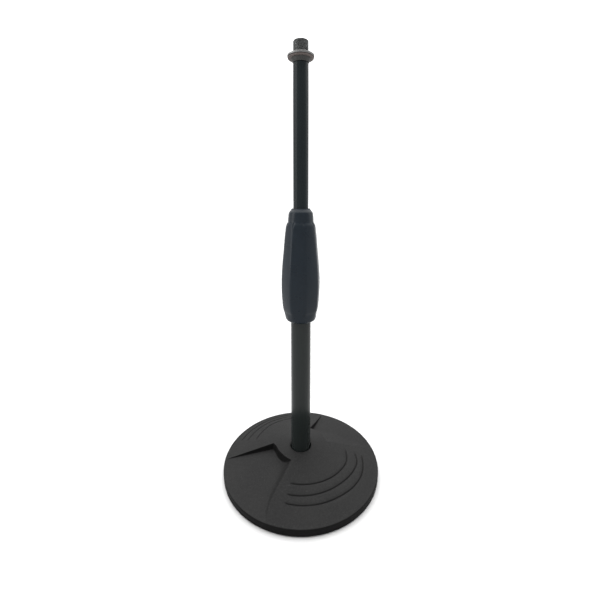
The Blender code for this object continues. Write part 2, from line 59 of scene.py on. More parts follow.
# ------------------------------------------------------------------ materials
class Nodes:
    """A small helper round one material's node tree. Texture space is the object's own, in millimetres."""

    def __init__(self, name):
        self.material = bpy.data.materials.new(name)
        self.material.use_nodes = True
        self.tree = self.material.node_tree
        self.shader = self.tree.nodes["Principled BSDF"]
        coordinates = self.tree.nodes.new("ShaderNodeTexCoord")
        mapping = self.tree.nodes.new("ShaderNodeMapping")
        mapping.inputs["Scale"].default_value = (1000.0, 1000.0, 1000.0)
        self.link(coordinates.outputs["Object"], mapping.inputs["Vector"])
        self.mm = mapping.outputs["Vector"]

    def link(self, source, target):
        self.tree.links.new(source, target)

    def node(self, kind, **inputs):
        node = self.tree.nodes.new(kind)
        for key, value in inputs.items():
            if key in ("operation", "blend_type", "data_type", "noise_dimensions", "noise_type", "feature",
                       "wave_type", "bands_direction", "rings_direction", "wave_profile", "interpolation_type",
                       "normalize", "distance", "clamp"):
                setattr(node, key, value)
        return node

    def noise(self, size, detail=3.0, roughness=0.5, vector=None, distortion=0.0):
        node = self.tree.nodes.new("ShaderNodeTexNoise")
        node.inputs["Scale"].default_value = 1.0 / size
        node.inputs["Detail"].default_value = detail
        node.inputs["Roughness"].default_value = roughness
        node.inputs["Distortion"].default_value = distortion
        self.link(vector or self.mm, node.inputs["Vector"])
        return node.outputs["Fac"]

    def stretched(self, scale, shift=(0.0, 0.0, 0.0)):
        node = self.tree.nodes.new("ShaderNodeMapping")
        node.inputs["Scale"].default_value = scale
        node.inputs["Location"].default_value = shift
        self.link(self.mm, node.inputs["Vector"])
        return node.outputs["Vector"]

    def polar(self, around=1.0, radial=1.0, along=1.0):
        """Texture space that is straight round the axis: (angle times 10, radius, z), each scaled."""
        split = self.tree.nodes.new("ShaderNodeSeparateXYZ")
        self.link(self.mm, split.inputs[0])
        angle = self.math("ARCTAN2", split.outputs[1], split.outputs[0])
        squares = self.math("ADD", self.math("MULTIPLY", split.outputs[0], split.outputs[0]),
                            self.math("MULTIPLY", split.outputs[1], split.outputs[1]))
        radius = self.math("SQRT", squares)
        join = self.tree.nodes.new("ShaderNodeCombineXYZ")
        self.link(self.math("MULTIPLY", angle, 10.0 * around), join.inputs[0])
        self.link(self.math("MULTIPLY", radius, radial), join.inputs[1])
        self.link(self.math("MULTIPLY", split.outputs[2], along), join.inputs[2])
        return join.outputs[0]

    def math(self, operation, a, b=None, c=None):
        node = self.tree.nodes.new("ShaderNodeMath")
        node.operation = operation
        for i, value in enumerate((a, b, c)):
            if value is None:
                continue
            if isinstance(value, (int, float)):
                node.inputs[i].default_value = value
            else:
                self.link(value, node.inputs[i])
        return node.outputs[0]

    def spread(self, value, low, high, to_low=0.0, to_high=1.0, smooth=False):
        node = self.tree.nodes.new("ShaderNodeMapRange")
        node.interpolation_type = "SMOOTHSTEP" if smooth else "LINEAR"
        node.inputs["From Min"].default_value = low
        node.inputs["From Max"].default_value = high
        node.inputs["To Min"].default_value = to_low
        node.inputs["To Max"].default_value = to_high
        self.link(value, node.inputs["Value"])
        return node.outputs["Result"]

    def mix(self, factor, first, second):
        node = self.tree.nodes.new("ShaderNodeMix")
        node.data_type = "RGBA"
        self.link(factor, node.inputs["Factor"])
        for socket, value in ((node.inputs["A"], first), (node.inputs["B"], second)):
            if isinstance(value, tuple):
                socket.default_value = (*value, 1.0)
            else:
                self.link(value, socket)
        return node.outputs["Result"]

    def attribute(self, name):
        node = self.tree.nodes.new("ShaderNodeAttribute")
        node.attribute_name = name
        return node.outputs["Fac"]

    def pointiness(self):
        return self.tree.nodes.new("ShaderNodeNewGeometry").outputs["Pointiness"]

    def upward(self):
        """How far the surface faces up: 1 on a flat top, 0 on a wall."""
        split = self.tree.nodes.new("ShaderNodeSeparateXYZ")
        self.link(self.tree.nodes.new("ShaderNodeNewGeometry").outputs["Normal"], split.inputs[0])
        return split.outputs["Z"]

    def bump(self, height, distance_mm, strength=1.0, under=None):
        node = self.tree.nodes.new("ShaderNodeBump")
        node.inputs["Distance"].default_value = distance_mm * MM
        node.inputs["Strength"].default_value = strength
        self.link(height, node.inputs["Height"])
        if under is not None:
            self.link(under, node.inputs["Normal"])
        return node.outputs["Normal"]

    def finish(self, colour=None, roughness=None, normal=None, metallic=0.0, specular=0.5, coat=None, ior=None):
        def put(socket, value):
            if value is None:
                return
            if isinstance(value, tuple):
                self.shader.inputs[socket].default_value = (*value, 1.0)
            elif isinstance(value, (int, float)):
                self.shader.inputs[socket].default_value = value
            else:
                self.link(value, self.shader.inputs[socket])
        put("Base Color", colour)
        put("Roughness", roughness)
        put("Normal", normal)
        put("Metallic", metallic)
        put("Specular IOR Level", specular)
        put("IOR", ior)
        if coat:
            self.shader.inputs["Coat Weight"].default_value = coat[0]
            self.shader.inputs["Coat Roughness"].default_value = coat[1]
        return self.material


def base_coat():
    """Charcoal textured powder coat on rough cast iron, with painted shade on its steep faces."""
    m = Nodes("base_coat")
    fine = m.noise(0.50, 3.0, 0.6)
    grain = m.noise(0.20, 2.0, 0.5)
    speck = m.noise(1.9, 2.0, 0.65)
    cast = m.noise(6.0, 3.0, 0.5)
    broad = m.noise(38.0, 2.0, 0.5)
    shade = m.mix(m.spread(fine, 0.32, 0.68), (0.0104, 0.0104, 0.0106), (0.0198, 0.0198, 0.0197))
    shade = m.mix(m.spread(speck, 0.40, 0.62, 0.0, 0.65), shade, (0.0075, 0.0075, 0.0076))
    shade = m.mix(m.spread(speck, 0.58, 0.72, 0.0, 0.45), shade, (0.0380, 0.0380, 0.0376))
    shade = m.mix(m.spread(broad, 0.35, 0.65, 0.0, 0.30), shade, (0.0190, 0.0188, 0.0184))
    worn = m.spread(m.pointiness(), 0.54, 0.60, 0.0, 0.15, True)
    shade = m.mix(worn, shade, (0.040, 0.040, 0.040))
    # Painted shade: faces that turn away from up (recess walls, ramps) are darkened in colour towards near black,
    # standing in for the light they miss.
    shade = m.mix(m.spread(m.upward(), 0.985, 0.60, 0.0, 0.85), shade, (0.0030, 0.0030, 0.0030))
    rough = m.spread(grain, 0.3, 0.7, 0.50, 0.66)
    normal = m.bump(cast, 0.16, 0.5)
    normal = m.bump(speck, 0.30, 0.9, normal)
    normal = m.bump(fine, 0.15, 0.9, normal)
    normal = m.bump(grain, 0.04, 0.8, normal)
    return m.finish(shade, rough, normal, specular=0.04)


def tube_coat(name, dark, light, rough, specular, bump):
    """Smooth powder coat on a drawn tube: orange peel, long faint rub marks."""
    m = Nodes(name)
    peel = m.noise(1.1, 2.0, 0.45)
    grain = m.noise(0.28, 2.0, 0.5)
    rub = m.noise(1.0, 3.0, 0.6, m.stretched((2.2, 2.2, 0.02)))
    shade = m.mix(m.spread(rub, 0.35, 0.7), dark, light)
    shade = m.mix(m.spread(grain, 0.62, 0.75, 0.0, 0.35), shade, tuple(1.5 * c for c in light))
    roughness = m.spread(rub, 0.3, 0.7, rough - 0.015, rough + 0.02)
    normal = m.bump(peel, 0.05 * bump, 0.6)
    normal = m.bump(grain, 0.012 * bump, 0.6, normal)
    return m.finish(shade, roughness, normal, specular=specular)


def moulded(name, dark, light, rough, specular=0.45, grain_depth=0.02):
    """Moulded plastic with a spark-eroded grain."""
    m = Nodes(name)
    grain = m.noise(0.35, 2.0, 0.55)
    broad = m.noise(14.0, 2.0, 0.5)
    shade = m.mix(m.spread(grain, 0.35, 0.7), dark, light)
    shade = m.mix(m.spread(broad, 0.4, 0.7, 0.0, 0.3), shade, tuple(1.25 * c for c in light))
    worn = m.spread(m.pointiness(), 0.52, 0.60, 0.0, 0.4, True)
    shade = m.mix(worn, shade, tuple(1.8 * c for c in light))
    roughness = m.spread(broad, 0.35, 0.65, rough - 0.03, rough + 0.05)
    return m.finish(shade, roughness, m.bump(grain, grain_depth, 0.7), specular=specular)


def turned_metal(name, dark, light, rough, lines=0.18, depth=0.006, metallic=1.0, grime=None):
    """Steel with fine turning marks round its axis."""
    m = Nodes(name)
    marks = m.noise(lines, 3.0, 0.6, m.polar(0.012, 1.0, 1.0))
    spots = m.noise(1.6, 3.0, 0.6)
    shade = m.mix(m.spread(marks, 0.3, 0.7), dark, light)
    shade = m.mix(m.spread(spots, 0.5, 0.75, 0.0, 0.45), shade, dark)
    if grime is not None:
        shade = m.mix(m.spread(m.pointiness(), 0.50, 0.42, 0.0, 0.8, True), shade, grime)
    roughness = m.spread(marks, 0.3, 0.7, rough - 0.05, rough + 0.07)
    return m.finish(shade, roughness, m.bump(marks, depth, 0.8), metallic=metallic)


def thread_metal():
    """Dark burnished steel thread: crests polished by use, oil and dirt in the roots."""
    m = Nodes("stud_steel")
    marks = m.noise(0.3, 3.0, 0.6, m.polar(0.05, 1.0, 1.0))
    crest = m.attribute("crest")
    shade = m.mix(m.spread(marks, 0.3, 0.7), (0.046, 0.049, 0.047), (0.074, 0.078, 0.076))
    shade = m.mix(m.spread(crest, 0.55, 0.95, 0.0, 1.0, True), shade, (0.26, 0.27, 0.27))
    shade = m.mix(m.spread(crest, 0.35, 0.0, 0.0, 0.9, True), shade, (0.042, 0.042, 0.041))
    roughness = m.spread(marks, 0.3, 0.7, 0.42, 0.56)
    return m.finish(shade, roughness, m.bump(marks, 0.008, 0.6), metallic=1.0)


def fibre():
    """Vulcanised fibre: reddish brown, matt, with felted flecks."""
    m = Nodes("washer_fibre")
    flecks = m.noise(0.35, 4.0, 0.65, distortion=1.2)
    shade = m.mix(m.spread(flecks, 0.3, 0.7), (0.062, 0.051, 0.048), (0.108, 0.090, 0.084))
    return m.finish(shade, m.spread(flecks, 0.3, 0.7, 0.65, 0.85), m.bump(flecks, 0.05, 0.8), specular=0.3)


def rubber():
    m = Nodes("pad_rubber")
    skin = m.noise(0.6, 3.0, 0.55)
    dust = m.noise(7.0, 4.0, 0.6)
    shade = m.mix(m.spread(skin, 0.35, 0.7), (0.010, 0.010, 0.010), (0.018, 0.018, 0.018))
    shade = m.mix(m.spread(dust, 0.52, 0.75, 0.0, 0.5), shade, (0.045, 0.043, 0.040))
    return m.finish(shade, m.spread(dust, 0.3, 0.7, 0.72, 0.88), m.bump(skin, 0.04, 0.7), specular=0.35)


def nylon():
    m = Nodes("collet_plastic")
    cloud = m.noise(5.0, 3.0, 0.5)
    skin = m.noise(0.5, 2.0, 0.5)
    shade = m.mix(m.spread(cloud, 0.35, 0.7), (0.60, 0.585, 0.53), (0.70, 0.69, 0.65))
    made = m.finish(shade, m.spread(cloud, 0.3, 0.7, 0.38, 0.5), m.bump(skin, 0.012, 0.6), specular=0.5)
    m.shader.inputs["Subsurface Weight"].default_value = 0.15
    m.shader.inputs["Subsurface Scale"].default_value = 0.002
    return made


BASE = base_coat()
UPPER = tube_coat("upper_tube_black", (0.0064, 0.0098, 0.0108), (0.0084, 0.0118, 0.0130), 0.27, 0.10, 0.6)
LOWER = tube_coat("lower_tube_black", (0.0112, 0.0138, 0.0134), (0.0140, 0.0166, 0.0160), 0.18, 0.16, 0.8)
GRIP = moulded("grip_plastic", (0.0034, 0.0070, 0.0112), (0.0058, 0.0098, 0.0144), 0.30, 0.17)
WIPER = moulded("wiper_plastic", (0.008, 0.008, 0.008), (0.012, 0.012, 0.012), 0.6)
ZINC = turned_metal("fixing_steel", (0.38, 0.38, 0.37), (0.56, 0.56, 0.54), 0.34)
RING = turned_metal("ring_steel", (0.12, 0.12, 0.118), (0.20, 0.20, 0.198), 0.42, grime=(0.04, 0.038, 0.034))
STUD = thread_metal()
FIBRE = fibre()
RUBBER = rubber()
NYLON = nylon()


# ------------------------------------------------------------------ building
def piece(name, mesh, body, material, slot, *nodes, sharp=32.0):
    mesh.materials.append(material)
    mesh.shade_smooth()
    mesh.set_sharp_from_angle(angle=math.radians(sharp))
    obj = bpy.data.objects.new(name, mesh)
    bpy.context.scene.collection.objects.link(obj)
    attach(obj, body)
    if nodes:
        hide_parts(*nodes)
    return obj


def rounded(points, segments=4, closed=True):
    """Rounds the corners of a (radius, z[, fillet]) outline."""
    out = []
    count = len(points)
    for i, point in enumerate(points):
        fillet = point[2] if len(point) > 2 else 0.0
        p = Vector(point[:2])
        if fillet <= 0.0 or (not closed and i in (0, count - 1)):
            out.append((p.x, p.y))
            continue
        a = (Vector(points[i - 1][:2]) - p)
        b = (Vector(points[(i + 1) % count][:2]) - p)
        la, lb = a.length, b.length
        a.normalize()
        b.normalize()
        half = math.acos(max(-1.0, min(1.0, a.dot(b)))) / 2.0
        reach = min(fillet / math.tan(half), 0.49 * la, 0.49 * lb)
        radius = reach * math.tan(half)
        centre = p + (a + b).normalized() * (radius / math.sin(half))
        start, end = p + a * reach - centre, p + b * reach - centre
        turn = math.atan2(start.x * end.y - start.y * end.x, start.dot(end))
        for k in range(segments + 1):
            angle = turn * k / segments
            c, s = math.cos(angle), math.sin(angle)
            out.append((centre.x + start.x * c - start.y * s, centre.y + start.x * s + start.y * c))
    return out


def lathe_mesh(name, outline, segments=96, closed=True):
    """Quads from an outline of (radius, z) in mm turned about Z. A closed outline is a ring; an open one ends on the axis."""
    bm = bmesh.new()
    rings = []
    for r, z in outline:
        if r < 1e-6:
            rings.append([bm.verts.new((0.0, 0.0, z * MM))] * segments)
        else:
            rings.append([bm.verts.new((r * MM * math.cos(TAU * k / segments), r * MM * math.sin(TAU * k / segments), z * MM))
                          for k in range(segments)])
    pairs = list(zip(rings, rings[1:])) + ([(rings[-1], rings[0])] if closed else [])
    for upper, lower in pairs:
        for k in range(segments):
            j = (k + 1) % segments
            corners = []
            for v in (upper[k], lower[k], lower[j], upper[j]):
                if v not in corners:
                    corners.append(v)
            if len(corners) > 2:
                bm.faces.new(corners)
    bmesh.ops.recalc_face_normals(bm, faces=bm.faces[:])
    mesh = bpy.data.meshes.new(name)
    bm.to_mesh(mesh)
    bm.free()
    return mesh


def smooth_through(knots, x):
    """Cubic through (x, y) knots with finite-difference slopes; flat ends are extended in a straight line."""
    xs = np.array([k[0] for k in knots], float)
    ys = np.array([k[1] for k in knots], float)
    slopes = np.gradient(ys, xs)
    x = np.asarray(x, float)
    i = np.clip(np.searchsorted(xs, x) - 1, 0, len(xs) - 2)
    h = xs[i + 1] - xs[i]
    t = (x - xs[i]) / h
    inside = np.clip(t, 0.0, 1.0)
    t2, t3 = inside ** 2, inside ** 3
    value = ((2 * t3 - 3 * t2 + 1) * ys[i] + (t3 - 2 * t2 + inside) * h * slopes[i]
             + (-2 * t3 + 3 * t2) * ys[i + 1] + (t3 - t2) * h * slopes[i + 1])
    value = value + np.where(t < 0, (t * h) * slopes[0], 0.0) + np.where(t > 1, ((t - 1) * h) * slopes[-1], 0.0)
    return value


# ------------------------------------------------------------------ base casting
BASE_R, HUB_R, HUB_TOP, RIM_TOP = 88.0, 15.0, 25.8, 8.5
SLOPE = (HUB_TOP - RIM_TOP) / (BASE_R - 1.0 - HUB_R)
TOP_EDGE_R, HOLE_EDGE_R = 85.9, 12.6
RING_COUNT = 192
STEEP, RAMP_REACH = 1.0 / math.tan(math.radians(10.0)), 2.3


def top_height(r):
    """The raised top: a shallow cone that eases into the flat hub."""
    x = r - HUB_R
    k = 2.5
    eased = np.where(x > k, x, np.where(x < -k, 0.0, (x + k) ** 2 / (4 * k)))
    return HUB_TOP - SLOPE * eased


def floor_height(r):
    return 14.6 - (14.6 - RIM_TOP) / 54.0 * (r - 32.0)


def soft_min(a, b, k):
    h = np.maximum(k - np.abs(a - b), 0.0) / k
    return np.minimum(a, b) - h * h * k * 0.25


def soft_max(a, b, k):
    return -soft_min(-a, -b, k)


class Sector:
    """One sunk sector: a straight steep wall, a hub arc given as radius against angle, and a soft ramp edge given as angle against radius."""

    def __init__(self, wall_start, wall_end, into, hub, ramp, side, span, soft=(RAMP_REACH, 2.5)):
        self.a, self.b = np.array(wall_start), np.array(wall_end)
        self.u = (self.b - self.a) / np.linalg.norm(self.b - self.a)
        normal = np.array((-self.u[1], self.u[0]))
        self.n = normal if normal @ np.array(into) > 0 else -normal
        self.hub, self.ramp, self.side, self.span, self.soft = hub, ramp, side, span, soft

    def distances(self, x, y, r, angle):
        wall = (x - self.a[0]) * self.n[0] + (y - self.a[1]) * self.n[1]
        rho = smooth_through(self.hub, angle)
        slope = (smooth_through(self.hub, angle + 1.0) - smooth_through(self.hub, angle - 1.0)) / (2 * math.radians(1.0))
        hub = (r - rho) / np.sqrt(1.0 + (slope / rho) ** 2)
        edge = smooth_through(self.ramp, r)
        ramp = r * np.sin(np.radians(np.clip(self.side * (angle - edge), -80.0, 80.0)))
        return wall, hub, ramp

    def depth(self, x, y):
        r = np.hypot(x, y)
        angle = np.degrees(np.arctan2(y, x))
        low, high = self.span
        angle = np.where(angle < low, angle + 360.0, angle)
        wall, hub, ramp = self.distances(x, y, r, angle)
        full = np.maximum(top_height(r) - floor_height(r), 1e-6)
        down = soft_min(STEEP * wall, STEEP * hub, 2.2)
        down = soft_min(down, full, 1.2)
        reach = np.clip(ramp / (self.soft[0] * full + 1.5), 0.0, 1.0)
        eased = full * (1.0 - (1.0 - reach) ** self.soft[1]) + np.minimum(ramp, 0.0) * 2.0
        down = soft_min(down, eased, 0.7)
        down = soft_max(down, 0.0 * down, 0.7)
        return np.where((angle >= low) & (angle <= high), np.minimum(down, full + 0.0), 0.0)


def xy(r, degrees):
    return (r * math.cos(math.radians(degrees)), r * math.sin(math.radians(degrees)))


LEFT = Sector(xy(33.2, 166.1), xy(82.6, 180.9), (0.0, -1.0),
              [(150.0, 48.0), (160.0, 37.5), (166.1, 33.2), (171.0, 30.4), (176.1, 28.5), (189.1, 26.3),
               (213.2, 23.8), (228.0, 23.5), (243.0, 23.6), (262.0, 24.6)],
              [(10.0, 244.2), (40.0, 243.8), (60.0, 243.6), (72.0, 244.6), (80.0, 246.2), (88.0, 248.2)],
              -1.0, (140.0, 290.0))
RIGHT = Sector(xy(41.0, 72.2), xy(80.1, 70.1), (1.0, -0.4),
               [(-30.0, 33.0), (0.0, 33.0), (20.0, 33.1), (25.2, 33.5), (39.8, 34.3), (51.0, 36.2), (62.5, 38.1),
                (72.0, 38.6), (90.0, 41.0)],
               [(10.0, 26.0), (33.0, 20.0), (50.0, 15.0), (70.0, 11.8), (84.0, 9.5), (88.0, 8.0)],
               1.0, (-40.0, 100.0), (6.5, 1.4))
SECTORS = (LEFT, RIGHT)

GROOVES = [
    [(257.0, 47.5), (280.0, 48.0), (303.0, 49.3), (325.0, 51.2), (344.0, 53.2), (363.0, 52.4)],
    [(256.5, 58.5), (277.0, 58.6), (297.0, 58.9), (317.5, 60.2), (336.0, 62.9), (350.0, 64.6), (361.0, 62.9)],
    [(256.5, 66.8), (273.0, 67.5), (289.0, 68.1), (305.0, 68.8), (323.0, 70.7), (337.0, 71.8), (359.0, 70.8)],
    [(99.0, 67.4), (114.0, 66.4), (127.0, 65.2), (142.0, 61.6), (158.0, 59.2)],
    [(99.0, 73.8), (114.0, 73.4), (127.0, 72.7), (142.0, 71.2), (160.0, 69.7)],
    [(99.0, 79.4), (114.0, 79.2), (127.0, 78.9), (142.0, 78.4), (160.0, 77.8)],
]
GROOVE_HALF, GROOVE_DEPTH = 0.95, 0.75


def groove_depth(x, y):
    r = np.hypot(x, y)
    raw = np.degrees(np.arctan2(y, x))
    total = np.zeros_like(r)
    for knots in GROOVES:
        low, high = knots[0][0], knots[-1][0]
        angle = np.where(raw < low - 8.0, raw + 360.0, raw)
        d = r - smooth_through(knots, np.clip(angle, low, high))
        bed = np.where(np.abs(d) < GROOVE_HALF, 0.5 + 0.5 * np.cos(math.pi * d / GROOVE_HALF), 0.0)
        reach = np.minimum(angle - low, high - angle) * math.pi / 180.0 * r
        ends = np.clip(reach / 2.4 + 0.5, 0.0, 1.0)
        total = np.maximum(total, bed * ends * ends * (3 - 2 * ends))
    return total * GROOVE_DEPTH


def base_height(x, y):
    r = np.hypot(x, y)
    z = top_height(r)
    for sector in SECTORS:
        z = z - sector.depth(x, y)
    return z - groove_depth(x, y)


def feature_lines():
    """Lines along the walls, ramps and grooves, each a list of points in plan."""
    lines = []
    for sector in SECTORS:
        # straight wall
        length = 90.0
        s = np.arange(-4.0, length, 1.3)
        for kind, value in [("d", -0.6), ("d", -0.3), ("d", -0.1), ("d", 0.1), ("w", 0.3), ("w", 0.6), ("w", 0.85),
                            ("f", 0.0), ("f", 0.15), ("f", 0.35), ("f", 0.7)]:
            px = sector.a[0] + sector.u[0] * s
            py = sector.a[1] + sector.u[1] * s
            r = np.hypot(px, py)
            w = np.maximum(top_height(r) - floor_height(r), 0.0) / STEEP
            d = {"d": value + 0 * w, "w": w * value, "f": w + value}[kind]
            lines.append(np.stack((px + sector.n[0] * d, py + sector.n[1] * d), 1))
        # hub arc
        low = {-1.0: 162.0, 1.0: 12.0}[sector.side]
        high = {-1.0: 247.0, 1.0: 76.0}[sector.side]
        t = np.arange(low, high, 2.2)
        rho = smooth_through(sector.hub, t)
        slope = (smooth_through(sector.hub, t + 1.0) - smooth_through(sector.hub, t - 1.0)) / (2 * math.radians(1.0))
        size = np.sqrt(1.0 + (slope / rho) ** 2)
        for kind, value in [("d", -0.6), ("d", -0.3), ("d", -0.1), ("d", 0.1), ("w", 0.3), ("w", 0.6), ("w", 0.85),
                            ("f", 0.0), ("f", 0.15), ("f", 0.35), ("f", 0.7)]:
            w = np.maximum(top_height(rho) - floor_height(rho), 0.0) / STEEP
            d = {"d": value + 0 * w, "w": w * value, "f": w + value}[kind]
            r = rho + d * size
            lines.append(np.stack((r * np.cos(np.radians(t)), r * np.sin(np.radians(t))), 1))
        # ramp
        r = np.arange(20.0 if sector.side < 0 else 29.0, 90.0, 1.8)
        edge = smooth_through(sector.ramp, r)
        full = np.maximum(top_height(r) - floor_height(r), 0.0)
        for kind, value in [("d", -0.6), ("d", -0.3), ("d", -0.1), ("d", 0.1), ("d", 0.4), ("w", 0.08), ("w", 0.18), ("w", 0.32),
                            ("w", 0.5), ("w", 0.72), ("w", 1.0)]:
            d = {"d": value + 0 * full, "w": 0.3 + (sector.soft[0] * full + 1.5) * value, "f": full + value}[kind]
            t = edge + sector.side * np.degrees(d / r)
            lines.append(np.stack((r * np.cos(np.radians(t)), r * np.sin(np.radians(t))), 1))
    for knots in GROOVES:
        low, high = knots[0][0], knots[-1][0]
        mean = sum(k[1] for k in knots) / len(knots)
        step = math.degrees(1.5 / mean)
        t = np.arange(low - 1.2, high + 1.2 + step, step)
        rho = smooth_through(knots, np.clip(t, low, high))
        for d in (-0.95, -0.65, -0.35, 0.0, 0.35, 0.65, 0.95):
            r = rho + d
            lines.append(np.stack((r * np.cos(np.radians(t)), r * np.sin(np.radians(t))), 1))
    return lines


def base_mesh():
    points, edges = [], []

    def loop(radius):
        start = len(points)
        for k in range(RING_COUNT):
            points.append((radius * math.cos(TAU * k / RING_COUNT), radius * math.sin(TAU * k / RING_COUNT)))
        edges.extend((start + k, start + (k + 1) % RING_COUNT) for k in range(RING_COUNT))

    loop(TOP_EDGE_R)
    loop(HOLE_EDGE_R)
    fixed = len(points)
    for line in feature_lines():
        r = np.hypot(line[:, 0], line[:, 1])
        keep = (r < TOP_EDGE_R - 0.35) & (r > HOLE_EDGE_R + 0.8)
        last = None
        for p, ok in zip(line, keep):
            if not ok:
                last = None
                continue
            points.append((float(p[0]), float(p[1])))
            if last is not None:
                edges.append((last, len(points) - 1))
            last = len(points) - 1
    # A triangular grid over the plain areas, kept clear of the lines and of the two edges.
    taken = np.array(points)
    cells = {}
    for x, y in taken:
        cells.setdefault((int(x // 2.0), int(y // 2.0)), []).append((x, y))

    def free(x, y, clear):
        cx, cy = int(x // 2.0), int(y // 2.0)
        for i in (-1, 0, 1):
            for j in (-1, 0, 1):
                for px, py in cells.get((cx + i, cy + j), ()):
                    if (px - x) ** 2 + (py - y) ** 2 < clear * clear:
                        return False
        return True

    spacing = 2.6
    rows = int(2 * BASE_R / (spacing * 0.866)) + 2
    for j in range(rows):
        y = -BASE_R + j * spacing * 0.866 + 0.013
        for i in range(int(2 * BASE_R / spacing) + 2):
            x = -BASE_R + i * spacing + (spacing / 2 if j % 2 else 0.0) + 0.017
            r = math.hypot(x, y)
            if HOLE_EDGE_R + 1.2 < r < TOP_EDGE_R - 1.4 and free(x, y, 1.25):
                points.append((x, y))
    made = geometry.delaunay_2d_cdt([Vector(p) for p in points], edges, [], 0, 0.0005)
    flat, _, faces = made[0], made[1], made[2]
    plan = np.array([(v[0], v[1]) for v in flat])
    radius = np.hypot(plan[:, 0], plan[:, 1])
    # The two loops keep their exact radii so that they meet the turned rings.
    height = base_height(plan[:, 0], plan[:, 1])
    on_hole = np.abs(radius - HOLE_EDGE_R) < 0.02
    height[on_hole] = HUB_TOP
    bm = bmesh.new()
    verts = [bm.verts.new((x * MM, y * MM, z * MM)) for (x, y), z in zip(plan, height)]
    for f in faces:
        cx, cy = plan[list(f)].mean(0)
        if math.hypot(cx, cy) < HOLE_EDGE_R - 0.003:
            continue
        try:
            bm.faces.new([verts[i] for i in f])
        except ValueError:
            pass
    for v in [v for v in bm.verts if not v.link_faces]:
        bm.verts.remove(v)
    # Rim, underside and socket, as rings of RING_COUNT.
    outer = rounded([(TOP_EDGE_R, 8.77), (87.9, 8.45, 0.9), (BASE_R, 7.0, 0.5), (87.7, 0.8, 0.9), (85.6, 0.8, 0.2), (85.6, 3.3),
                     (77.4, 3.3), (77.4, 0.8, 0.3), (75.5, 0.8, 0.6), (74.4, 3.8, 0.8), (21.2, 3.8, 0.8), (20.2, 0.8, 0.6),
                     (14.0, 0.8, 0.5), (14.0, 10.5), (4.3, 10.5), (4.3, 15.0), (12.0, 15.0), (12.0, 25.8, 0.6),
                     (HOLE_EDGE_R, 25.8)], 5, closed=False)
    rings = []
    for r, z in outer:
        ring = []
        for k in range(RING_COUNT):
            c, s = math.cos(TAU * k / RING_COUNT), math.sin(TAU * k / RING_COUNT)
            ring.append([r * c, r * s, z])
        rings.append(ring)
    # The rim takes the height of what runs into it, and loses that again over its first millimetres.
    around = np.array([(math.cos(TAU * k / RING_COUNT), math.sin(TAU * k / RING_COUNT)) for k in range(RING_COUNT)])
    edge = base_height(around[:, 0] * TOP_EDGE_R, around[:, 1] * TOP_EDGE_R)
    for (r, z), ring in zip(outer, rings):
        if z > 7.0 and r > 80.0:
            keep = 1.0 - min(1.0, max(0.0, (r - TOP_EDGE_R) / 1.9)) ** 1.5
            for k in range(RING_COUNT):
                ring[k][2] = z + (edge[k] - 8.77) * keep if r > TOP_EDGE_R + 1e-6 else edge[k]
    solid = [[bm.verts.new([c * MM for c in p]) for p in ring] for ring in rings]
    for upper, lower in zip(solid, solid[1:]):
        for k in range(RING_COUNT):
            j = (k + 1) % RING_COUNT
            bm.faces.new((upper[k], lower[k], lower[j], upper[j]))
    bmesh.ops.remove_doubles(bm, verts=bm.verts[:], dist=0.00001)
    bmesh.ops.dissolve_degenerate(bm, edges=bm.edges[:], dist=0.000002)
    bmesh.ops.recalc_face_normals(bm, faces=bm.faces[:])
    loose = sum(1 for e in bm.edges if len(e.link_faces) != 2)
    print("base: vertices", len(bm.verts), "faces", len(bm.faces), "open edges", loose)
    mesh = bpy.data.meshes.new("base_casting_shell")
    bm.to_mesh(mesh)
    bm.free()
    return mesh


piece("base_plate", base_mesh(), "base", BASE, "base_iron", "base_casting", sharp=55.0)

# ------------------------------------------------------------------ tubes
piece("lower_tube_shell", lathe_mesh("lower_tube_shell", rounded(
    [(9.8, 240.0), (11.0, 240.0, 0.3), (11.0, 17.3, 0.3), (9.8, 17.3)], 3), 128),
    "base", LOWER, "lower_tube_black", "lower_tube")
piece("upper_tube_shell", lathe_mesh("upper_tube_shell", rounded(
    [(6.8, 445.2), (8.0, 445.2, 0.25), (8.0, 205.0, 0.3), (6.8, 205.0)], 3), 128),
    "mast", UPPER, "upper_tube_black", "upper_tube")

# ------------------------------------------------------------------ grip
PANELS = 8
PANEL_PHASE = math.radians(14.0)
NECK = [  # plain turned neck above the panels
    (262.0, 15.0), (275.0, 14.4), (281.0, 14.0), (284.0, 13.75), (287.7, 13.6), (290.0, 13.4), (292.5, 13.1), (293.8, 12.85),
    (294.7, 12.45), (295.4, 11.95), (296.4, 11.15), (297.4, 10.35), (298.0, 9.95), (298.4, 9.75), (298.6, 9.6),
]
PANEL = [  # barrel that the middle of each panel lies on, down to the rounded foot
    (176.5, 14.3), (176.75, 15.0), (177.2, 15.7), (178.0, 16.25), (179.0, 16.62), (181.0, 17.0), (183.5, 17.4), (185.6, 17.72),
    (186.8, 18.0), (188.2, 18.45), (190.5, 18.9), (195.5, 19.55), (202.4, 20.0),
    (209.1, 20.35), (217.0, 20.5), (224.7, 20.35), (231.4, 20.0), (242.4, 19.2), (253.3, 18.15), (264.1, 17.3), (268.5, 16.95),
    (272.8, 16.5), (277.1, 16.0), (279.2, 15.75), (280.7, 15.45), (282.0, 14.95), (283.2, 14.3), (284.6, 13.4), (286.5, 12.0),
    (290.0, 9.0),
]


